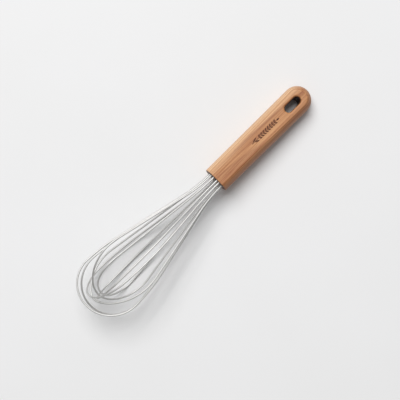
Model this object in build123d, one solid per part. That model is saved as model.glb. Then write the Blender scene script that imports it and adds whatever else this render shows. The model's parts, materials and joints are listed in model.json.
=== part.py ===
from build123d import *
from math import asin, atan2, cos, hypot, pi, radians, sin, tan
import os

# Balloon whisk, about 295 mm long: a wooden handle and seven springy wire loops.
#
# Every piece is drawn in the whisk's own straight frame: X runs along the axis with the mouth of
# the handle at X = 0, the handle lies towards +X and the balloon towards -X, and Z is up, square
# to the flats of the handle.  lay_down() then turns the whole whisk into the way it lies on a
# table, on the lowest wires of the balloon and on the far end of the handle.

# ---- driving dimensions, mm ----
HANDLE_LENGTH = 124.2
MOUTH_RADIUS = 13.4          # half the handle's width at the mouth
END_RADIUS = 13.9            # half its width at the hanging end, and the radius of that end
HANDLE_THICKNESS = 22.6      # over the two flats
EDGE_ROUNDING = 0.8          # along the edges of the flats and round the mouth

SLOT_LENGTH = 18.3           # hanging slot, right through the flats
SLOT_WIDTH = 7.6
SLOT_CENTRE_X = 102.3
SLOT_ROUNDING = 2.2

BORE_RADIUS = 9.5            # blind bore in the mouth of the handle
BORE_DEPTH = 34.0

WIRE_DIAMETER = 1.8
RING_RADIUS = 8.2            # the fourteen shanks stand on this ring
SHANK_DEPTH = 30.0           # how far each shank goes into the handle
FLARE_CORNER = 16.0          # where the shanks would turn outwards if the bend were sharp
FLARE_TANGENT = 15.5         # how far each way of that corner the bend reaches

SEAL_DEPTH = 0.8             # the mouth seal's face lies this far inside the mouth
SEAL_THICKNESS = 3.2
CORE_LENGTH = 26.0
SLEEVE_LENGTH = 24.0
SLEEVE_WALL = 0.28
FIT_CLEARANCE = 0.03         # radial, between the potted pieces

# The loops are nested: each crosses the axis at its own distance, so that no two touch.
# (angle of the loop's plane about the axis, reach of the tip, half width at the belly,
#  distance of the belly, half width at the nose, sideways lean of the tip, skew of the two sides)
LOOPS = {
    "wire_loop_1": (20, 167.2, 29.6, 109.0, 36.0, -1.8, 0.0),
    "wire_loop_2": (41.5, 154.6, 37.7, 132.5, 10.0, 2.9, -3.0),
    "wire_loop_3": (66, 151.6, 37.4, 142.0, 8.0, 0.8, -1.2),
    "wire_loop_4": (96.2, 157.6, 30.8, 108.0, 21.0, -1.2, -9.0),
    "wire_loop_5": (117, 161.4, 30.8, 104.0, 27.0, 6.0, -9.0),
    "wire_loop_6": (156, 159.9, 31.6, 137.5, 6.0, -2.8, -5.0),
    "wire_loop_7": (178, 169.9, 31.0, 119.0, 32.0, 0.2, -3.8),
}

# ---- lying pose ----
TILT = 4.63                  # degrees: the balloon end of the axis is raised by this much


def ring_point(x, radius, angle):
    """A point at this distance from the axis, in the direction of angle, measured from +Y to +Z."""
    return Vector(x, radius * cos(radians(angle)), radius * sin(radians(angle)))


def turn_at(before, corner, after):
    """The angle, in radians, by which the route turns at a corner."""
    return radians((corner - before).get_angle(after - corner))


def loop_route(angle, reach, half_width, belly, nose, lean, skew):
    """Corners of one loop, from the end of one shank round the tip to the end of the other."""

    def corner(distance, offset):
        side = angle if offset > 0 else angle + 180
        lean_share = max(distance - FLARE_CORNER, 0) / (reach - FLARE_CORNER)
        return ring_point(-distance, abs(offset), side) + Vector(0, lean * lean_share, 0)

    return [
        corner(-SHANK_DEPTH, RING_RADIUS),
        corner(FLARE_CORNER, RING_RADIUS),
        corner(belly + skew, half_width),
        corner(reach + skew / 2, nose),
        corner(reach - skew / 2, -nose),
        corner(belly - skew, -half_width),
        corner(FLARE_CORNER, -RING_RADIUS),
        corner(-SHANK_DEPTH, -RING_RADIUS),
    ]


def loop_radii(route):
    """The bend radius at each corner.  The nose is one round bend, the belly is as gentle as the
    straight runs beside it allow, and the flare starts just outside the handle."""
    turns = [turn_at(*route[i - 1:i + 2]) for i in range(1, 7)]
    runs = [(route[i + 1] - route[i]).length for i in range(7)]
    nose = 0.499 * runs[3]
    first_belly = 0.98 * min(runs[2] - nose, 0.5 * runs[1])
    second_belly = 0.98 * min(runs[4] - nose, 0.5 * runs[5])
    tangents = [FLARE_TANGENT, first_belly, nose, nose, second_belly, FLARE_TANGENT]
    return [tangent / tan(turn / 2) for tangent, turn in zip(tangents, turns)]


def make_loop(parameters):
    """One loop of round wire, bent from straight runs and tangent arcs."""
    route = loop_route(*parameters)
    path = FilletPolyline(*route, radius=loop_radii(route))
    section = Plane(origin=path @ 0, z_dir=path % 0) * Circle(WIRE_DIAMETER / 2)
    return sweep(section, path=path), path.length


def shank_angles():
    """Directions of the fourteen shanks round the axis."""
    angles = [parameters[0] for parameters in LOOPS.values()]
    return angles + [angle + 180 for angle in angles]


def cylinder_along_x(radius, start, length):
    return Plane(origin=(start, 0, 0), z_dir=(1, 0, 0)) * extrude(Circle(radius), length)


def shank_holes(start, length):
    """Round holes for the shanks, with the fit clearance, over a length of the axis."""
    holes = []
    for angle in shank_angles():
        centre = ring_point(start, RING_RADIUS, angle)
        section = Plane(origin=centre, z_dir=(1, 0, 0)) * Circle(WIRE_DIAMETER / 2 + FIT_CLEARANCE)
        holes.append(extrude(section, length))
    return holes


def make_handle():
    """A turned, slightly flared stick with a ball end, planed to two flats, with the hanging slot
    and the blind bore."""
    ball_centre = HANDLE_LENGTH - END_RADIUS
    slope = asin(END_RADIUS / hypot(MOUTH_RADIUS, ball_centre)) - atan2(MOUTH_RADIUS, ball_centre)
    tangent_point = (ball_centre - END_RADIUS * sin(slope), END_RADIUS * cos(slope))
    outline = make_face(
        [
            Line((0, 0), (0, MOUTH_RADIUS)),
            Line((0, MOUTH_RADIUS), tangent_point),
            RadiusArc(tangent_point, (HANDLE_LENGTH, 0), END_RADIUS),
            Line((HANDLE_LENGTH, 0), (0, 0)),
        ]
    )
    turned = revolve(outline, Axis.X)
    flats = Pos(HANDLE_LENGTH / 2, 0, 0) * Box(2 * HANDLE_LENGTH, 4 * END_RADIUS, HANDLE_THICKNESS)
    handle = turned & flats
    mouth = handle.faces().sort_by(Axis.X)[0]
    rounded = ShapeList(handle.faces().filter_by(Axis.Z).edges() + mouth.edges())
    handle = fillet(rounded, EDGE_ROUNDING)

    slot = extrude(SlotOverall(SLOT_LENGTH, SLOT_WIDTH), HANDLE_THICKNESS, both=True)
    handle -= Pos(SLOT_CENTRE_X, 0, 0) * slot
    rims = [
        edge
        for face in handle.faces().filter_by(Axis.Z)
        for edge in face.inner_wires().edges()
    ]
    handle = fillet(rims, SLOT_ROUNDING)
    return handle - cylinder_along_x(BORE_RADIUS, -1, BORE_DEPTH + 1)


def make_mouth_seal():
    """Cast resin disc that closes the bore round the fourteen shanks."""
    seal = cylinder_along_x(BORE_RADIUS - FIT_CLEARANCE, SEAL_DEPTH, SEAL_THICKNESS)
    return seal - shank_holes(SEAL_DEPTH - 1, SEAL_THICKNESS + 2)


def make_wire_core():
    """Nylon core with a groove for each shank; the wires stand half sunk in its surface."""
    start = SEAL_DEPTH + SEAL_THICKNESS + FIT_CLEARANCE
    core = cylinder_along_x(RING_RADIUS, start, CORE_LENGTH)
    return core - shank_holes(start - 1, CORE_LENGTH + 2)


def make_retaining_sleeve():
    """Thin steel sleeve closed round the shanks, which holds them in the core's grooves."""
    start = SEAL_DEPTH + SEAL_THICKNESS + FIT_CLEARANCE
    inner = RING_RADIUS + WIRE_DIAMETER / 2 + FIT_CLEARANCE
    sleeve = cylinder_along_x(inner + SLEEVE_WALL, start, SLEEVE_LENGTH)
    return sleeve - cylinder_along_x(inner, start - 1, SLEEVE_LENGTH + 2)


def lay_down(pieces):
    """Turn the whisk into its lying pose, with the origin under the middle of its outer box."""
    turned = {name: Rot(0, TILT, 0) * piece for name, piece in pieces.items()}
    box = Compound(children=[Compound(piece.solids()) for piece in turned.values()]).bounding_box()
    middle = box.center()
    shift = Pos(-middle.X, -middle.Y, -box.min.Z)
    return {name: shift * piece for name, piece in turned.items()}


def main():
    pieces = {
        "handle": make_handle(),
        "mouth_seal": make_mouth_seal(),
        "wire_core": make_wire_core(),
        "retaining_sleeve": make_retaining_sleeve(),
    }
    for name, parameters in LOOPS.items():
        pieces[name], length = make_loop(parameters)
        expected = length * pi * WIRE_DIAMETER ** 2 / 4
        print(f"{name}: wire {length:.1f} mm, volume {pieces[name].volume:.1f} of {expected:.1f} mm3")

    os.makedirs("parts", exist_ok=True)
    for name, piece in lay_down(pieces).items():
        export_step(piece, f"parts/{name}.step")


main()
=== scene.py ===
import json
import math

import bpy
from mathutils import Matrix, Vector


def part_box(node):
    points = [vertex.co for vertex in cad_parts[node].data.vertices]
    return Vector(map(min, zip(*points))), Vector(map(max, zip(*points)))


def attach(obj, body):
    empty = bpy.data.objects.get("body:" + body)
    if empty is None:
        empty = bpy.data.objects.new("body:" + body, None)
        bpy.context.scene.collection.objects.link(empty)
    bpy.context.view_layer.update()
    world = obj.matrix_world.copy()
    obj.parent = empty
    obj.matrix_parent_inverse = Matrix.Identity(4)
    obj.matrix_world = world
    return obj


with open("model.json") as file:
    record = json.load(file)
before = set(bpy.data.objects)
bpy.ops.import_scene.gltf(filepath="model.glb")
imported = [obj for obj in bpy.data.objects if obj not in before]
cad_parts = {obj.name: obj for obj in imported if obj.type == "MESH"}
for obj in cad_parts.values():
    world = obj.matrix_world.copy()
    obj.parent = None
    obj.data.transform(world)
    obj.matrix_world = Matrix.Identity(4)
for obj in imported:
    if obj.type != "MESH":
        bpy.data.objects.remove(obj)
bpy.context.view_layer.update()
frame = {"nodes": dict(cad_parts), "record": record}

NODES = frame["nodes"]
MOUNTS = {mount["name"]: mount for mount in frame["record"]["mounts"]}

MM = 0.001
WIRE_NODES = sorted(name for name in NODES if name.startswith("wire_loop_"))

# ---- the whisk's own frame: X along its axis to the hanging end, Z out of the upper flat ----
UP = Vector(MOUNTS["top_flat"]["axis"]).normalized()
ALONG = Vector((UP.z, 0, -UP.x))
ACROSS = UP.cross(ALONG)
TILT = math.atan2(UP.x, UP.z)
SLOT_CENTRE = Vector(MOUNTS["hanging_slot"]["pos_m"])
TOP_FLAT = Vector(MOUNTS["top_flat"]["pos_m"])
UNDER_FLAT = Vector(MOUNTS["under_flat"]["pos_m"])
HALF_THICKNESS = (TOP_FLAT - UNDER_FLAT).dot(UP) / 2     # of the handle, axis to flat
HANDLE_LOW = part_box("handle")[0]


def mouth_centre():
    """The middle of the handle's mouth: on the axis, which runs through the slot's centre.  The
    handle's lowest X is on the rim of the mouth, which the tilt carries past the middle.  Taking
    that rim as sharp puts the result less than 0.1 mm out."""
    to_rim = (SLOT_CENTRE.x - HANDLE_LOW.x) / ALONG.x
    return SLOT_CENTRE - ALONG * (to_rim - HALF_THICKNESS * abs(ALONG.z))


MOUTH = mouth_centre()
SLOT_ALONG = (SLOT_CENTRE - MOUTH).dot(ALONG) / MM


# ---------------------------------------------------------------- node helpers

# The Mix node's sockets share their names, so the ones for colours are found by their places.
MIX_SHARE = 0
MIX_FIRST = 6
MIX_SECOND = 7
MIX_RESULT = 2


class Shader:
    """One material, with short ways of adding nodes to it."""

    def __init__(self, name):
        self.material = bpy.data.materials.new(name)
        self.material.use_nodes = True
        self.tree = self.material.node_tree
        self.surface = self.tree.nodes["Principled BSDF"]

    def feed(self, socket, value):
        """Link an output to a socket, or set the value of the socket itself."""
        if isinstance(value, bpy.types.NodeSocket):
            self.tree.links.new(value, socket)
        else:
            socket.default_value = value

    def node(self, kind, settings=None, inputs=None):
        """Add a node, with its settings and its inputs."""
        node = self.tree.nodes.new(kind)
        for key, value in (settings or {}).items():
            setattr(node, key, value)
        for key, value in (inputs or {}).items():
            self.feed(node.inputs[key], value)
        return node

    def math(self, operation, first, second=0.0):
        """The result of one operation on one or two numbers."""
        node = self.node("ShaderNodeMath", {"operation": operation}, {0: first, 1: second})
        return node.outputs[0]

    def noise(self, vector, scale, detail, roughness=0.5):
        """Smooth noise, mostly near 0.5."""
        node = self.node("ShaderNodeTexNoise", inputs={
            "Vector": vector, "Scale": scale, "Detail": detail, "Roughness": roughness})
        return node.outputs["Fac"]

    def stretched_noise(self, vector, scales, detail, roughness=0.5):
        """Noise with a scale of its own along each axis."""
        mapping = self.node("ShaderNodeMapping", {"vector_type": "POINT"}, {
            "Vector": vector, "Scale": scales})
        return self.noise(mapping.outputs[0], 1.0, detail, roughness)

    def ramp(self, factor, stops):
        """A colour for each value of the factor, between stops of (position, colour)."""
        node = self.node("ShaderNodeValToRGB", inputs={"Fac": factor})
        elements = node.color_ramp.elements
        while len(elements) < len(stops):
            elements.new(0.5)
        for element, (position, colour) in zip(elements, stops):
            element.position = position
            element.color = (*colour, 1.0)
        return node.outputs["Color"]

    def tinted(self, base, tint, share):
        """The base colour with this share of a tint in it."""
        node = self.node("ShaderNodeMix", {"data_type": "RGBA"}, {
            MIX_SHARE: share, MIX_FIRST: base, MIX_SECOND: (*tint, 1.0)})
        return node.outputs[MIX_RESULT]

    def map_range(self, value, low, high, to_low, to_high):
        """The value carried from one range to another, and held at that one's ends."""
        node = self.node("ShaderNodeMapRange", {"clamp": True}, {
            "Value": value, "From Min": low, "From Max": high,
            "To Min": to_low, "To Max": to_high})
        return node.outputs[0]

    def bump(self, height, distance, strength):
        """The normal of a relief, where heights of 0 to 1 stand for 0 to distance, in metres."""
        node = self.node("ShaderNodeBump", inputs={
            "Height": height, "Distance": distance, "Strength": strength})
        return node.outputs[0]

    def whisk_millimetres(self):
        """Coordinates in the whisk's own frame, with the origin at the mouth.  They are in
        millimetres, so the scales of noise on them are per millimetre."""
        place = self.node("ShaderNodeTexCoord").outputs["Object"]
        node = self.node("ShaderNodeMapping", {"vector_type": "TEXTURE"}, {
            "Vector": place, "Location": MOUTH, "Rotation": (0, TILT, 0), "Scale": (MM, MM, MM)})
        return node.outputs[0]

    def facing_along(self):
        """How squarely the surface faces the hanging end: 1 is straight at it, -1 straight away."""
        normal = self.node("ShaderNodeNewGeometry").outputs["Normal"]
        node = self.node("ShaderNodeVectorMath", {"operation": "DOT_PRODUCT"}, {
            0: normal, 1: tuple(ALONG)})
        return node.outputs["Value"]

    def cover(self, colour, roughness, normal):
        """Give the surface its colour, its roughness and its relief."""
        self.feed(self.surface.inputs["Base Color"], colour)
        self.feed(self.surface.inputs["Roughness"], roughness)
        self.feed(self.surface.inputs["Normal"], normal)


def grey(level):
    """A linear grey."""
    return (level, level, level)


def srgb(red, green, blue):
    """An sRGB colour in 0..255 as the linear colour that shaders take."""
    def linear(value):
        value = value / 255
        return value / 12.92 if value <= 0.04045 else ((value + 0.055) / 1.055) ** 2.4
    return (linear(red), linear(green), linear(blue))


# ---------------------------------------------------------------- the handle's wood

DARK_GRAIN = srgb(162, 101, 59)
MIDDLE_GRAIN = srgb(192, 136, 89)
PALE_GRAIN = srgb(214, 163, 113)
# painted light: the side of the handle towards the lamp, lightened
PAINTED_LIT_SIDE = srgb(240, 204, 164)
# painted shade: the side of the handle away from the lamp, darkened
PAINTED_SHADED_SIDE = srgb(134, 68, 28)
RING_LINE = srgb(130, 68, 34)
PALE_FIBRE = srgb(208, 152, 108)
PORE = srgb(112, 64, 36)
END_GRAIN = srgb(128, 76, 44)
# end grain of the mouth's face, darkened further by painted shade
MOUTH_END_GRAIN_AND_SHADE = srgb(84, 40, 18)
# painted shade inside the hanging slot
PAINTED_SLOT_SHADE = srgb(58, 34, 22)

# How the stick was cut from its plank, in mm in the whisk's own frame.
PITH_ASIDE = 7.0             # the centre of the growth rings is this far to the -Y side of the axis
PITH_BELOW = 46.0            # and this far below the axis at the mouth
PITH_FALL = 0.012            # mm that it lies further below for each mm along
RINGS_PER_MM = 0.62
GRAIN_WANDER = 5.0           # the most that the grain snakes, from side to side

# Where the colour changes, as (start, end) of each change.
PAINTED_LIT_SIDE_ACROSS = (4.0, 11.0)         # mm across, on the side towards the lamp, where light is painted
PAINTED_SHADED_SIDE_ACROSS = (-4.5, -10.0)     # mm across, on the side away from the lamp, where shade is painted
BALL_ALONG = (106.0, 116.0)          # mm along: the rings are clearest on the ball end
# the next three bound the painted shade on the slot's walls
SLOT_ENDS = (9.4, 10.6)              # mm along, either way from the slot's centre
SLOT_SIDES = (4.0, 5.2)              # mm across, either way from the axis
SLOT_RIMS = (9.2, 10.8)              # mm up or down from the axis
FACING_HANGING_END = (0.45, 0.98)    # how squarely the surface faces that end
FACING_BALLOON = (-0.55, -0.85)
PORE_NOISE = (0.64, 0.72)            # the peaks of the noise, which become pores


def growth_rings(s, along, across, height, wander):
    """Rings round the pith: 0 in pale early wood, rising to late wood and falling off quickly."""
    aside = s.math("ADD", s.math("ADD", across, PITH_ASIDE), wander)
    fall = s.math("MULTIPLY", along, PITH_FALL)
    above = s.math("ADD", s.math("ADD", height, PITH_BELOW), fall)
    squares = s.math("ADD", s.math("POWER", aside, 2.0), s.math("POWER", above, 2.0))
    turn = s.math("FRACT", s.math("MULTIPLY", s.math("SQRT", squares), RINGS_PER_MM))
    return s.ramp(turn, [(0.0, grey(0)), (0.5, grey(0.1)), (0.88, grey(0.8)), (1.0, grey(0))])


def painted_slot_shade_mask(s, along, across, height):
    """A mask for the painted shade on the walls of the hanging slot, up to where their rims begin
    to round.
    """
    from_slot = s.math("ABSOLUTE", s.math("SUBTRACT", along, SLOT_ALONG))
    between_ends = s.map_range(from_slot, *SLOT_ENDS, 1.0, 0.0)
    between_sides = s.map_range(s.math("ABSOLUTE", across), *SLOT_SIDES, 1.0, 0.0)
    between_rims = s.map_range(s.math("ABSOLUTE", height), *SLOT_RIMS, 0.85, 0.0)
    return s.math("MULTIPLY", s.math("MULTIPLY", between_ends, between_sides), between_rims)


def wood_material():
    """Oiled warm hardwood, sawn along the grain: long streaks, fine fibres, rings and short pores,
    with painted light on the side towards the lamp, painted shade on the far side and on the slot's
    walls, darker end grain on the ball end, and end grain with painted shade on the mouth."""
    s = Shader("handle_wood")
    place = s.whisk_millimetres()
    split = s.node("ShaderNodeSeparateXYZ", inputs={"Vector": place})
    along, across, height = split.outputs["X"], split.outputs["Y"], split.outputs["Z"]

    waves = s.stretched_noise(place, (0.007, 0.03, 0.03), 2.0)
    wander = s.math("MULTIPLY", s.math("SUBTRACT", waves, 0.5), GRAIN_WANDER)
    streaks = s.stretched_noise(place, (0.011, 0.55, 0.55), 3.0, 0.55)
    fibres = s.stretched_noise(place, (0.028, 2.0, 2.0), 4.0, 0.6)
    fine_fibres = s.stretched_noise(place, (0.09, 6.5, 6.5), 3.0, 0.6)
    broad_bands = s.stretched_noise(place, (0.012, 0.10, 0.10), 2.0)
    pore_noise = s.stretched_noise(place, (0.30, 5.5, 5.5), 1.0)
    pores = s.map_range(pore_noise, *PORE_NOISE, 0.0, 1.0)

    # The shares add up so that the tone stays round 0.55, where the middle colour stands.
    tone = s.math("ADD", s.math("MULTIPLY", streaks, 0.55), s.math("MULTIPLY", fibres, 0.3))
    tone = s.math("ADD", tone, s.math("MULTIPLY", broad_bands, 0.25))
    colour = s.ramp(tone, [(0.46, DARK_GRAIN), (0.55, MIDDLE_GRAIN), (0.64, PALE_GRAIN)])
    side = s.math("ADD", across, wander)
    # painted light on the side of the handle towards the lamp
    colour = s.tinted(colour, PAINTED_LIT_SIDE, s.map_range(side, *PAINTED_LIT_SIDE_ACROSS, 0.0, 0.7))
    # painted shade on the side of the handle away from the lamp
    colour = s.tinted(colour, PAINTED_SHADED_SIDE, s.map_range(side, *PAINTED_SHADED_SIDE_ACROSS, 0.0, 0.6))
    rings = growth_rings(s, along, across, height, wander)
    ring_strength = s.map_range(along, *BALL_ALONG, 0.6, 1.0)
    colour = s.tinted(colour, RING_LINE, s.math("MULTIPLY", rings, ring_strength))
    colour = s.tinted(colour, PALE_FIBRE, s.map_range(fine_fibres, 0.35, 0.7, 0.0, 0.30))
    colour = s.tinted(colour, PORE, s.math("MULTIPLY", pores, 0.5))

    facing = s.facing_along()
    colour = s.tinted(colour, END_GRAIN, s.map_range(facing, *FACING_HANGING_END, 0.0, 0.25))
    # the mouth's face: darker end grain, with painted shade on top
    colour = s.tinted(colour, MOUTH_END_GRAIN_AND_SHADE, s.map_range(facing, *FACING_BALLOON, 0.0, 0.85))
    # painted shade on the walls of the hanging slot
    colour = s.tinted(colour, PAINTED_SLOT_SHADE, painted_slot_shade_mask(s, along, across, height))

    roughness = s.map_range(fibres, 0.3, 0.7, 0.44, 0.60)
    raised = s.math("MULTIPLY", fine_fibres, 0.5)
    relief = s.math("SUBTRACT", raised, s.math("MULTIPLY", pores, 0.8))
    s.cover(colour, roughness, s.bump(relief, 0.05 * MM, 0.5))
    s.surface.inputs["Specular IOR Level"].default_value = 0.35
    s.surface.inputs["Coat Weight"].default_value = 0.2
    s.surface.inputs["Coat Roughness"].default_value = 0.38
    return s.material


# ---------------------------------------------------------------- the other materials

def steel_material(name, roughness_low, roughness_high, tint):
    """Drawn stainless steel with faint lengthwise drawing marks and uneven polish."""
    s = Shader(name)
    place = s.whisk_millimetres()
    cloud = s.stretched_noise(place, (0.25, 0.6, 0.6), 3.0)
    marks = s.stretched_noise(place, (0.6, 14.0, 14.0), 3.0, 0.6)
    darker = tuple(0.9 * part for part in tint)
    colour = s.ramp(cloud, [(0.3, darker), (0.7, tint)])
    roughness = s.map_range(marks, 0.3, 0.7, roughness_low, roughness_high)
    s.cover(colour, roughness, s.bump(marks, 0.01 * MM, 0.25))
    s.surface.inputs["Metallic"].default_value = 1.0
    return s.material


def resin_material():
    """Dark cast resin, cloudy and slightly uneven."""
    s = Shader("seal_resin")
    place = s.whisk_millimetres()
    cloud = s.noise(place, 0.6, 4.0)
    colour = s.ramp(cloud, [(0.3, srgb(52, 40, 31)), (0.7, srgb(84, 64, 48))])
    roughness = s.map_range(cloud, 0.3, 0.7, 0.4, 0.62)
    s.cover(colour, roughness, s.bump(s.noise(place, 2.5, 3.0), 0.1 * MM, 0.4))
    return s.material


def nylon_material():
    """Off-white moulded nylon."""
    s = Shader("core_nylon")
    place = s.whisk_millimetres()
    cloud = s.noise(place, 0.5, 4.0)
    colour = s.ramp(cloud, [(0.3, srgb(212, 208, 196)), (0.7, srgb(228, 224, 214))])
    roughness = s.map_range(cloud, 0.3, 0.7, 0.5, 0.65)
    s.cover(colour, roughness, s.bump(s.noise(place, 4.0, 2.0), 0.05 * MM, 0.3))
    return s.material


def burnt_material():
    """Charred wood: uneven dark brown, dull."""
    s = Shader("burnt_mark")
    place = s.whisk_millimetres()
    char = s.stretched_noise(place, (0.9, 2.4, 2.4), 4.0, 0.6)
    colour = s.ramp(char, [(0.3, srgb(60, 24, 6)), (0.7, srgb(104, 52, 18))])
    roughness = s.map_range(char, 0.3, 0.7, 0.62, 0.82)
    s.cover(colour, roughness, s.bump(char, 0.04 * MM, 0.4))
    return s.material


def floor_material():
    """A plain pale floor, very slightly cloudy."""
    s = Shader("floor")
    cloud = s.noise(s.node("ShaderNodeTexCoord").outputs["Object"], 5.0, 3.0)
    colour = s.ramp(cloud, [(0.3, grey(0.80)), (0.7, (0.82, 0.82, 0.825))])
    s.feed(s.surface.inputs["Base Color"], colour)
    s.surface.inputs["Roughness"].default_value = 0.6
    return s.material


# ---------------------------------------------------------------- objects

def new_mesh(name, vertices, faces, material):
    """A mesh of one material."""
    mesh = bpy.data.meshes.new(name)
    mesh.from_pydata(vertices, [], faces)
    mesh.materials.append(material)
    return mesh


def new_object(name, data):
    """An object in the scene that holds this mesh, lamp or camera."""
    holder = bpy.data.objects.new(name, data)
    bpy.context.scene.collection.objects.link(holder)
    return holder


def finish_node(name, material):
    """Give a CAD node its material."""
    node = NODES[name]
    node.data.materials.clear()
    node.data.materials.append(material)


# ---------------------------------------------------------------- the burnt mark

# In mm, and along the stem from its foot unless it says otherwise.
MARK_START = -7.4            # the foot of the stem, along the handle from the flat's mount
ROWS_START = 9.0             # the double row of grains begins here
ROWS_END = 32.8              # and ends before here
GRAIN_LENGTH = 3.3
GRAIN_WIDTH = 1.5
GRAIN_STEP = 2.9
GRAIN_ANGLE = 30.0           # degrees from the stem
GRAIN_GAP = 0.22             # between the stem and the root of a grain
TIP_GRAIN_GAP = 0.3
TIP_GRAIN_LENGTH = GRAIN_LENGTH + 0.4
STEM_WIDTH = 0.6
LEAVES = ((1.6, 6.0, 1), (3.4, 5.0, -1))     # (root along the stem, length, side)
LEAF_WIDTH = 1.4
LEAF_ANGLE = 15.0            # degrees from the stem
LEAF_GAP = 0.3
CHAR_TOP = 0.02              # how far each chip stands out of the wood
CHAR_DEPTH = 0.15            # and how far it goes in


def leaf_outline(root, length, width, angle, side):
    """A pointed leaf from its root, leaning by angle to one side of the stem."""
    turn = math.radians(angle) * side
    steps = 9
    edge = [(length * i / steps, width / 2 * math.sin(math.pi * i / steps) ** 0.75)
            for i in range(1, steps)]
    points = [(0, 0)] + [(x, -y) for x, y in edge] + [(length, 0)] + edge[::-1]
    return [(root[0] + x * math.cos(turn) - y * math.sin(turn),
             root[1] + x * math.sin(turn) + y * math.cos(turn)) for x, y in points]


def mark_outlines():
    """An ear of wheat: a double row of grains, a stem, a grain at the tip and two leaves."""
    half = STEM_WIDTH / 2
    top = ROWS_START
    outlines = []
    while top + GRAIN_LENGTH < ROWS_END:
        for side in (1, -1):
            root = (top, side * (half + GRAIN_GAP))
            outlines.append(leaf_outline(root, GRAIN_LENGTH, GRAIN_WIDTH, GRAIN_ANGLE, side))
        top += GRAIN_STEP
    outlines.append([(0, -half), (top, -half), (top, half), (0, half)])
    outlines.append(leaf_outline((top + TIP_GRAIN_GAP, 0), TIP_GRAIN_LENGTH, GRAIN_WIDTH, 0, 1))
    for start, length, side in LEAVES:
        root = (start, side * (half + LEAF_GAP))
        outlines.append(leaf_outline(root, length, LEAF_WIDTH, LEAF_ANGLE, side))
    return outlines


def make_mark():
    """Each shape of the mark is a closed chip, sunk in the flat and just proud of it."""
    vertices, faces = [], []
    for outline in mark_outlines():
        first, count = len(vertices), len(outline)
        for height in (-CHAR_DEPTH, CHAR_TOP):
            for x, y in outline:
                offset = ALONG * (MARK_START + x) + ACROSS * y + UP * height
                vertices.append(TOP_FLAT + MM * offset)
        faces.append(tuple(range(first + count - 1, first - 1, -1)))
        faces.append(tuple(range(first + count, first + 2 * count)))
        for i in range(count):
            j = (i + 1) % count
            faces.append((first + i, first + j, first + count + j, first + count + i))
    mark = new_object("burnt_mark", new_mesh("burnt_mark", vertices, faces, burnt_material()))
    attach(mark, "root")


# ---------------------------------------------------------------- stage, camera and light

# In metres, apart from the sensor's millimetres and the lamp's watts.
CAMERA_HEIGHT = 0.90
PICTURE_WIDTH = 0.3906       # of the floor, across the picture
PICTURE_TURN = math.radians(44.6)
CAMERA_ALONG = -23.8 * MM    # from the mouth, along the whisk
CAMERA_ACROSS = -2.8 * MM    # from the whisk's axis
SENSOR_WIDTH = 36

FLOOR_HALF_WIDTH = 1.5
FLOOR_DROP = 0.0002          # the floor lies this far below the whisk, so that no faces coincide

LAMP_PLACE = Vector((1.50, 3.20, 6.30))
LAMP_AIM = Vector((0, 0, 0.02))
LAMP_DIAMETER = 5.4
LAMP_POWER = 528
WORLD_STRENGTH = 0.24


def make_camera():
    """Straight above the whisk, turned so that it lies across the picture from corner to corner."""
    camera = bpy.data.cameras.new("camera")
    camera.sensor_width = SENSOR_WIDTH
    camera.lens = SENSOR_WIDTH * CAMERA_HEIGHT / PICTURE_WIDTH
    holder = new_object("camera", camera)
    holder.location = (MOUTH.x + CAMERA_ALONG, MOUTH.y + CAMERA_ACROSS, CAMERA_HEIGHT)
    holder.rotation_euler = (0, 0, -PICTURE_TURN)
    bpy.context.scene.camera = holder


def make_lamp():
    """One large soft round lamp, high and to one side."""
    lamp = bpy.data.lights.new("key", "AREA")
    lamp.shape = "ELLIPSE"
    lamp.size = LAMP_DIAMETER
    lamp.size_y = LAMP_DIAMETER
    lamp.energy = LAMP_POWER
    holder = new_object("key", lamp)
    holder.location = LAMP_PLACE
    holder.rotation_euler = (LAMP_AIM - LAMP_PLACE).to_track_quat("-Z", "Y").to_euler()


def make_floor():
    """A plain square floor."""
    half = FLOOR_HALF_WIDTH
    corners = [(-half, -half, 0), (half, -half, 0), (half, half, 0), (-half, half, 0)]
    floor = new_object("floor", new_mesh("floor", corners, [(0, 1, 2, 3)], floor_material()))
    floor.location.z = -FLOOR_DROP


def make_world():
    """A dim white world, which fills the shadows."""
    world = bpy.data.worlds.new("studio")
    bpy.context.scene.world = world
    world.use_nodes = True
    background = world.node_tree.nodes["Background"]
    background.inputs["Color"].default_value = (1, 1, 1, 1)
    background.inputs["Strength"].default_value = WORLD_STRENGTH


bpy.context.scene.view_settings.view_transform = "Standard"
make_camera()
make_world()
make_floor()
make_lamp()

sleeve_steel = steel_material("sleeve_steel", 0.3, 0.45, (0.62, 0.62, 0.61))
wire_steel = steel_material("wire_steel", 0.52, 0.65, (0.72, 0.715, 0.70))
finish_node("handle", wood_material())
finish_node("mouth_seal", resin_material())
finish_node("wire_core", nylon_material())
finish_node("retaining_sleeve", sleeve_steel)
for name in WIRE_NODES:
    finish_node(name, wire_steel)

make_mark()
